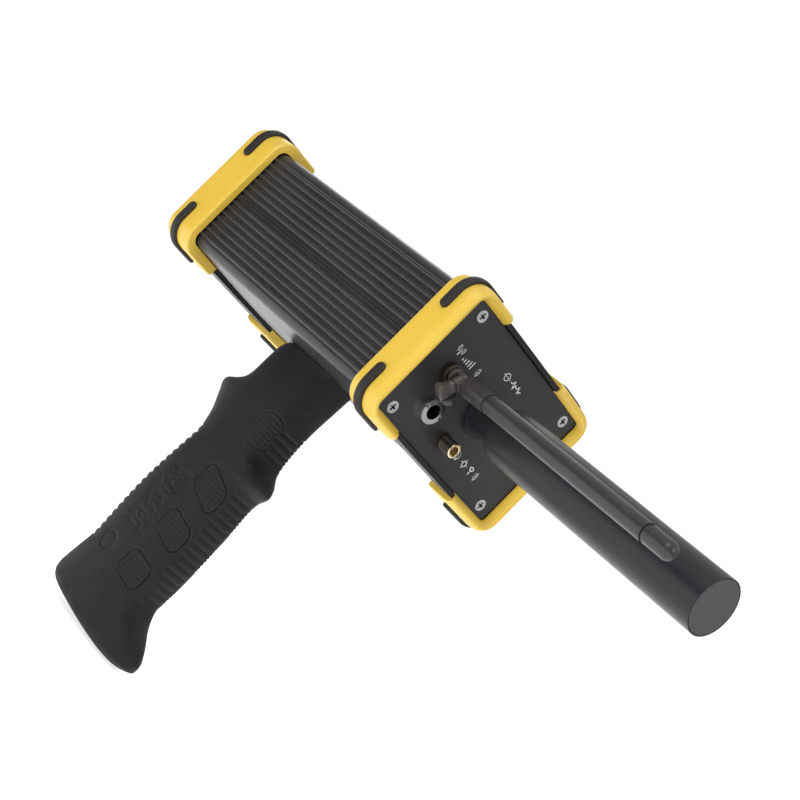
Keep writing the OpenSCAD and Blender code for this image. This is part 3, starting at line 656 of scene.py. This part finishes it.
def positioning_connector():
    """The brass coaxial connector: flange, thread, hollow end, insulator and centre contact."""
    c = PORT
    verts, faces, rows, n = threaded(c, -7.7, -1.0, 3.17, 2.86, 0.71)
    # Thread and flange take the near-black bronze as painted shade on their brass; only the mouth keeps bright brass
    mats = [1] * len(faces)

    def ring(profile, mat, link_to=None):
        start = len(verts)
        v, f = lathe(profile, c, n, closed=False)
        verts.extend(v)
        faces.extend(tuple(start + k for k in q) for q in f)
        mats.extend([mat] * len(f))
        if link_to is not None:
            for j in range(n):
                k = (j + 1) % n
                faces.append((link_to + j, link_to + k, start + k, start + j))
                mats.append(mat)
        return start

    ring([(-7.8, 3.05), (-7.95, 2.9), (-8.0, 2.7), (-8.0, 2.15), (-7.85, 1.95), (-7.2, 1.9), (-5.0, 1.9)], 0, 0)
    ring([(-5.0, 1.9), (-5.0, 0.75), (-4.4, 0.72), (-4.4, 0.42)], 2)
    faces.append(tuple(len(verts) - n + j for j in range(n)))
    mats.append(2)
    ring([(-1.0, 2.86), (-0.6, 2.86), (-0.6, 3.9), (-0.5, 4.0), (-0.1, 4.0), (-0.1, 2.9), (9.0, 2.9), (9.0, 0.4)], 1,
         (rows - 1) * n)
    faces.append(tuple(len(verts) - n + j for j in range(n)))
    mats.append(1)
    return piece("positioning_connector_turned", verts, faces,
                 [M["connector_brass"], M["bronze_dark"], M["dielectric"]], "instrument",
                 ("positioning_connector",), face_mats=mats)


def antenna_coupling():
    """The small knurled brass nut under the antenna."""
    c = ANTENNA
    verts, n = [], 96
    profile = [(-0.1, 4.0), (-0.35, 4.25), (-2.5, 4.25), (-2.9, 4.0), (-3.2, 3.5), (-3.2, 2.56), (-1.2, 2.56),
               (-1.2, 3.24), (-0.1, 3.24)]
    for k, (y, r) in enumerate(profile):
        for j in range(n):
            a = 2 * math.pi * j / n
            rr = r - (0.2 if k in (1, 2) and j % 4 < 2 else 0.0)
            verts.append(at(c[0] + rr * math.cos(a), y, c[1] + rr * math.sin(a)))
    faces = grid_faces(len(profile), n, closed_rows=True, closed_cols=True)
    return piece("antenna_coupling_knurled", verts, faces, [M["bronze_dark"]], "instrument",
                 ("antenna_coupling",), angle=30.0)


def hinge(x, y, z):
    """A point of the antenna's hinge: z along the pin, y to the rear, from the fold's middle."""
    t = math.radians(HINGE_TILT)
    return at(ANTENNA[0] + x * math.cos(t) + z * math.sin(t), y - HINGE_Y,
              ANTENNA[1] - x * math.sin(t) + z * math.cos(t))


def yoke():
    """The antenna's fork: a waisted flat arm with a foot, an ear on each side of the tongue and a dark boss."""
    verts, faces, mats = [], [], []

    def slab(outline, y0, y1, soft, mat, place):
        """An outline of (x, z) points drawn out along y with rounded edges."""
        n = len(outline)
        cx = sum(p[0] for p in outline) / n
        cz = sum(p[1] for p in outline) / n
        reach = max(math.hypot(p[0] - cx, p[1] - cz) for p in outline)
        base = len(verts)
        turns = [math.pi / 2 * (1 - k / 4) for k in range(5)]
        rows = [(y0 + soft * (1 - math.sin(a)), 1 - soft * (1 - math.cos(a)) / reach) for a in turns]
        rows += [(y1 - (y - y0), f) for y, f in reversed(rows)]
        for y, f in rows:
            for x, z in outline:
                verts.append(place(cx + (x - cx) * f, y, cz + (z - cz) * f))
        q = grid_faces(len(rows), n, closed_cols=True, base=base)
        q += [tuple(base + i for i in range(n)), tuple(base + (len(rows) - 1) * n + i for i in range(n))]
        faces.extend(q)
        mats.extend([mat] * len(q))

    arm = []
    for i in range(25):                                     # the right-hand edge, from the ear down
        z = -3.6 - 6.0 * i / 24
        arm.append((1.95 + 0.9 * (1 - step(-9.5, -5.5, z)), z))
    arm += [(2.85 - 1.3 * (1 - math.cos(a)), -9.6 - 1.2 * math.sin(a)) for a in (0.4, 0.8, 1.2, 1.57)]
    arm += [(-2.1 - 1.3 * math.sin(a), -10.8 + 1.2 * (1 - math.cos(a))) for a in (0.0, 0.4, 0.8, 1.2, 1.57)]
    for i in range(25):
        z = -9.6 + 6.0 * i / 24
        arm.append((-1.95 - 1.45 * (1 - step(-9.5, -6.0, z)), z))
    slab(arm, -1.9, 1.9, 0.5, 0, hinge)
    ear = [(2.35 * math.cos(2 * math.pi * k / 40), 2.35 * math.sin(2 * math.pi * k / 40)) for k in range(40)]
    for z0, z1 in ((0.5, 2.2), (-5.6, -3.6)):
        slab(ear, z0, z1, 0.35, 0, lambda x, y, z: hinge(x, z, y))
    slab([(-2.2, 0.5), (2.2, 0.5), (2.2, 2.2), (-2.2, 2.2)], 0.0, 3.6, 0.15, 0, hinge)
    foot = [(3.2 * math.cos(2 * math.pi * k / 48), 3.2 * math.sin(2 * math.pi * k / 48)) for k in range(48)]
    slab(foot, -5.0, -3.3, 0.3, 0, lambda x, y, z: at(ANTENNA[0] + x, y, ANTENNA[1] + z))
    stem = [(2.5 * p[0] / 3.2, 2.5 * p[1] / 3.2) for p in foot]
    slab(stem, -3.5, -1.3, 0.2, 0, lambda x, y, z: at(ANTENNA[0] + x, y, ANTENNA[1] + z))
    slab(foot, 3.9, 6.5, 0.55, 1, lambda x, y, z: hinge(y, 0.5 + x, -6.2 + z))
    slab([(-1.5, -8.0), (1.5, -8.0), (1.5, -4.4), (-1.5, -4.4)], 0.5, 4.6, 0.1, 1,
         lambda x, y, z: hinge(y, x, z))
    return piece("antenna_yoke", verts, faces, [M["knuckle_grey"], M["antenna_black"]], "antenna_swivel_base",
                 ("antenna_base",), face_mats=mats, angle=50.0)


# ---- printed pictograms ------------------------------------------------------------------
def stroke(points, width, closed=False):
    """A flat line of even width on the panel through (x, z) points, as quads."""
    quads = []
    n = len(points)
    for i in range(n if closed else n - 1):
        (x0, z0), (x1, z1) = points[i], points[(i + 1) % n]
        dx, dz = x1 - x0, z1 - z0
        ln = math.hypot(dx, dz)
        px, pz = -dz / ln * width / 2, dx / ln * width / 2
        ex, ez = dx / ln * width * 0.2, dz / ln * width * 0.2
        quads.append([(x0 - ex + px, z0 - ez + pz), (x1 + ex + px, z1 + ez + pz), (x1 + ex - px, z1 + ez - pz),
                      (x0 - ex - px, z0 - ez - pz)])
    return quads


def arc(cx, cz, r, a0, a1, n=14):
    turns = [math.radians(a0 + (a1 - a0) * i / n) for i in range(n + 1)]
    return [(cx + r * math.cos(a), cz + r * math.sin(a)) for a in turns]


def print_marks():
    """Plain pictograms in place of words: mast, bars and waves; target and pulses; pin, crosshair and waves."""
    w = 0.40
    quads = []

    def line(*points):
        quads.extend(stroke(list(points), w))

    def ring(x, z, r, a0=0, a1=360, n=20):
        quads.extend(stroke(arc(x, z, r, a0, a1, n), w))

    def waves(x, z):
        for r in (0.9, 1.8, 2.7):
            ring(x, z, r, -42, 42, 9)

    x, z = -33.4, 9.2                                        # beside the antenna
    line((x, z - 1.8), (x, z + 0.5))
    ring(x, z + 0.8, 0.3, n=10)
    for r in (1.15, 1.95):
        ring(x, z + 0.8, r, -45, 45, 8)
        ring(x, z + 0.8, r, 135, 225, 8)
    for k in range(5):
        line((-29.4 + 1.55 * k, z - 1.7), (-29.4 + 1.55 * k, z - 0.8 + 0.62 * k))
    waves(-20.3, z)
    x, z = -4.6, 17.2                                        # beside the sensor
    ring(x, z, 0.3, n=10)
    ring(x, z, 1.6)
    line((x - 2.2, z), (x - 1.0, z))
    line((x + 1.0, z), (x + 2.2, z))
    line((-1.0, z), (0.2, z), (0.9, z + 1.7), (1.8, z - 1.7), (2.5, z + 0.9), (3.0, z), (4.2, z), (4.9, z + 1.7),
         (5.7, z - 1.5), (6.3, z), (7.4, z))
    x, z = 7.0, -17.8                                        # beside the positioning connector
    ring(x, z + 0.5, 1.25, -25, 205)
    line((x - 1.12, z), (x, z - 2.0), (x + 1.12, z))
    ring(x, z + 0.5, 0.3, n=10)
    x = 13.0
    ring(x, z - 0.1, 1.3)
    for dx, dz in ((1, 0), (-1, 0), (0, 1), (0, -1)):
        line((x + dx * 0.7, z - 0.1 + dz * 0.7), (x + dx * 2.0, z - 0.1 + dz * 2.0))
    line((17.2, z + 1.0), (18.6, z - 0.4), (20.0, z + 1.0), (18.6, z + 1.7), (17.2, z + 1.0))
    line((18.6, z - 0.4), (18.6, z - 1.9))
    waves(21.2, z - 0.1)
    verts, faces = [], []
    for q in quads:
        b = len(verts)
        verts += [at(px, -0.03, pz) for px, pz in q] + [at(px, 0.02, pz) for px, pz in q]
        faces += [(b, b + 1, b + 2, b + 3), (b + 7, b + 6, b + 5, b + 4)]
        faces += [(b + i, b + (i + 1) % 4, b + 4 + (i + 1) % 4, b + 4 + i) for i in range(4)]
    return piece("panel_marks", verts, faces, [M["print_white"]], "instrument", (), angle=20.0)


# ---- finishes of the CAD nodes and edge rounding -----------------------------------------
EDGES = {"front_bezel": 0.5, "rear_bezel": 0.5, "front_panel": 0.35, "rear_panel": 0.35, "sensor_barrel": 0.35,
         "sensor_end_cap": 0.3, "sensor_neck": 0.4, "antenna_sleeve": 0.35, "antenna_rod": 0.25, "antenna_tip": 0.25,
         "antenna_knuckle": 0.3, "phones_nut": 0.35, "phones_jack": 0.25, "button_up": 0.6,
         "button_down": 0.6, "button_enter": 0.6, "power_rocker": 0.35, "power_switch_frame": 0.3,
         "status_lamp": 0.35, "front_panel_screws": 0.12, "rear_panel_screws": 0.12, "display_window": 0.2,
         "display_module": 0.2, "battery_holder": 0.4, "high_voltage_module": 0.4, "receiver_module": 0.4,
         "positioning_module": 0.4, "buzzer": 0.4, "grip_adapter": 0.3, "adapter_screws": 0.15, "antenna_jack": 0.2}

FINISH = {"sensor_end_cap": "sensor_face", "antenna_knuckle": "knuckle_grey"}
slots = {s["node"]: s["material_slot"] for s in frame["record"]["subparts"]}
for name, obj in NODES.items():
    obj.data.materials.clear()
    obj.data.materials.append(M[FINISH.get(name, slots[name])])
    for p in obj.data.polygons:
        p.material_index = 0
    if name in EDGES:
        bevel(obj, EDGES[name], 3, 32.0)

for name, side, place, end in (("bumper_front_left", -1, at, FRONT_END),
                               ("bumper_front_right", 1, at, FRONT_END),
                               ("bumper_rear_left", -1, at_rear, REAR_END),
                               ("bumper_rear_right", 1, at_rear, REAR_END)):
    bumper(name, side, place, end)
strips("front_bumper_strips", at)
strips("rear_bumper_strips", at_rear)
grip()
positioning_connector()
antenna_coupling()
yoke()
print_marks()

# ---- floor, light and camera -------------------------------------------------------------
FLOOR_R = 0.9
floor_z = CAD_BOX[0][2] - 0.0005
rim = [(FLOOR_R * math.cos(2 * math.pi * k / 64), FLOOR_R * math.sin(2 * math.pi * k / 64), floor_z)
       for k in range(64)]
me = bpy.data.meshes.new("floor")
me.from_pydata(rim, [], [tuple(range(64))])
floor = bpy.data.objects.new("floor", me)
bpy.context.scene.collection.objects.link(floor)
pale = surface("floor_pale", (0.93, 0.93, 0.93), (0.95, 0.95, 0.95), 0.9,
               grain_h=0.0, cloud=2.0, specular=0.1)
pale.node_tree.nodes["Principled BSDF"].inputs["Emission Color"].default_value = (1.0, 1.0, 1.0, 1.0)
pale.node_tree.nodes["Principled BSDF"].inputs["Emission Strength"].default_value = 0.75
me.materials.append(pale)

VIEW = (0.667, 0.738, -0.093)      # the way the camera looks; the studio is brightest there
world = bpy.data.worlds.new("studio")
bpy.context.scene.world = world
world.use_nodes = True
tree = world.node_tree
back = tree.nodes["Background"]
coord = tree.nodes.new("ShaderNodeTexCoord")


def smooth_range(source, low, high, to_low, to_high):
    n = tree.nodes.new("ShaderNodeMapRange")
    n.interpolation_type = "SMOOTHSTEP"
    for key, v in (("From Min", low), ("From Max", high), ("To Min", to_low), ("To Max", to_high)):
        n.inputs[key].default_value = v
    tree.links.new(source, n.inputs["Value"])
    return n.outputs["Result"]


toward = tree.nodes.new("ShaderNodeVectorMath")
toward.operation = "DOT_PRODUCT"
toward.inputs[1].default_value = VIEW
tree.links.new(coord.outputs["Generated"], toward.inputs[0])
height = tree.nodes.new("ShaderNodeSeparateXYZ")
tree.links.new(coord.outputs["Generated"], height.inputs["Vector"])
brightest = tree.nodes.new("ShaderNodeMath")
brightest.operation = "MAXIMUM"
tree.links.new(smooth_range(toward.outputs["Value"], 0.60, 0.93, 0.10, 1.06), brightest.inputs[0])
tree.links.new(smooth_range(height.outputs["Z"], 0.10, 0.80, 0.10, 0.85), brightest.inputs[1])
tree.links.new(brightest.outputs["Value"], back.inputs["Strength"])
back.inputs["Color"].default_value = (1.0, 1.0, 1.0, 1.0)


def softbox(name, location, target, size, power, colour=(1, 1, 1)):
    data = bpy.data.lights.new(name, "AREA")
    data.shape = "RECTANGLE"
    data.size, data.size_y = size
    data.energy = power
    data.color = colour
    obj = bpy.data.objects.new(name, data)
    obj.location = location
    obj.rotation_euler = (Vector(target) - Vector(location)).to_track_quat("-Z", "Y").to_euler()
    bpy.context.scene.collection.objects.link(obj)
    return obj


TARGET = (0.0, -0.04, 0.08)
softbox("key", (-1.15, -0.05, 0.75), TARGET, (0.8, 0.8), 8.0)
softbox("panel", (0.85, -0.88, 0.30), TARGET, (0.8, 0.8), 0.9)
softbox("behind", (0.44, 0.96, 0.84), TARGET, (0.5, 0.5), 1.8)
softbox("front", (-0.15, -1.35, 0.75), TARGET, (0.7, 0.7), 7.0)

cam_data = bpy.data.cameras.new("camera")
cam = bpy.data.objects.new("camera", cam_data)
bpy.context.scene.collection.objects.link(cam)
cam.location = (-0.474075, -0.511645, 0.051009)
cam.rotation_euler = Euler([math.radians(a) for a in (95.36274, -44.66747, -49.20110)], "XYZ")
cam_data.lens = 73.949
cam_data.sensor_width = 36.0
cam_data.clip_start = 0.01
cam_data.clip_end = 50.0
bpy.context.scene.camera = cam
bpy.context.scene.view_settings.view_transform = "Standard"
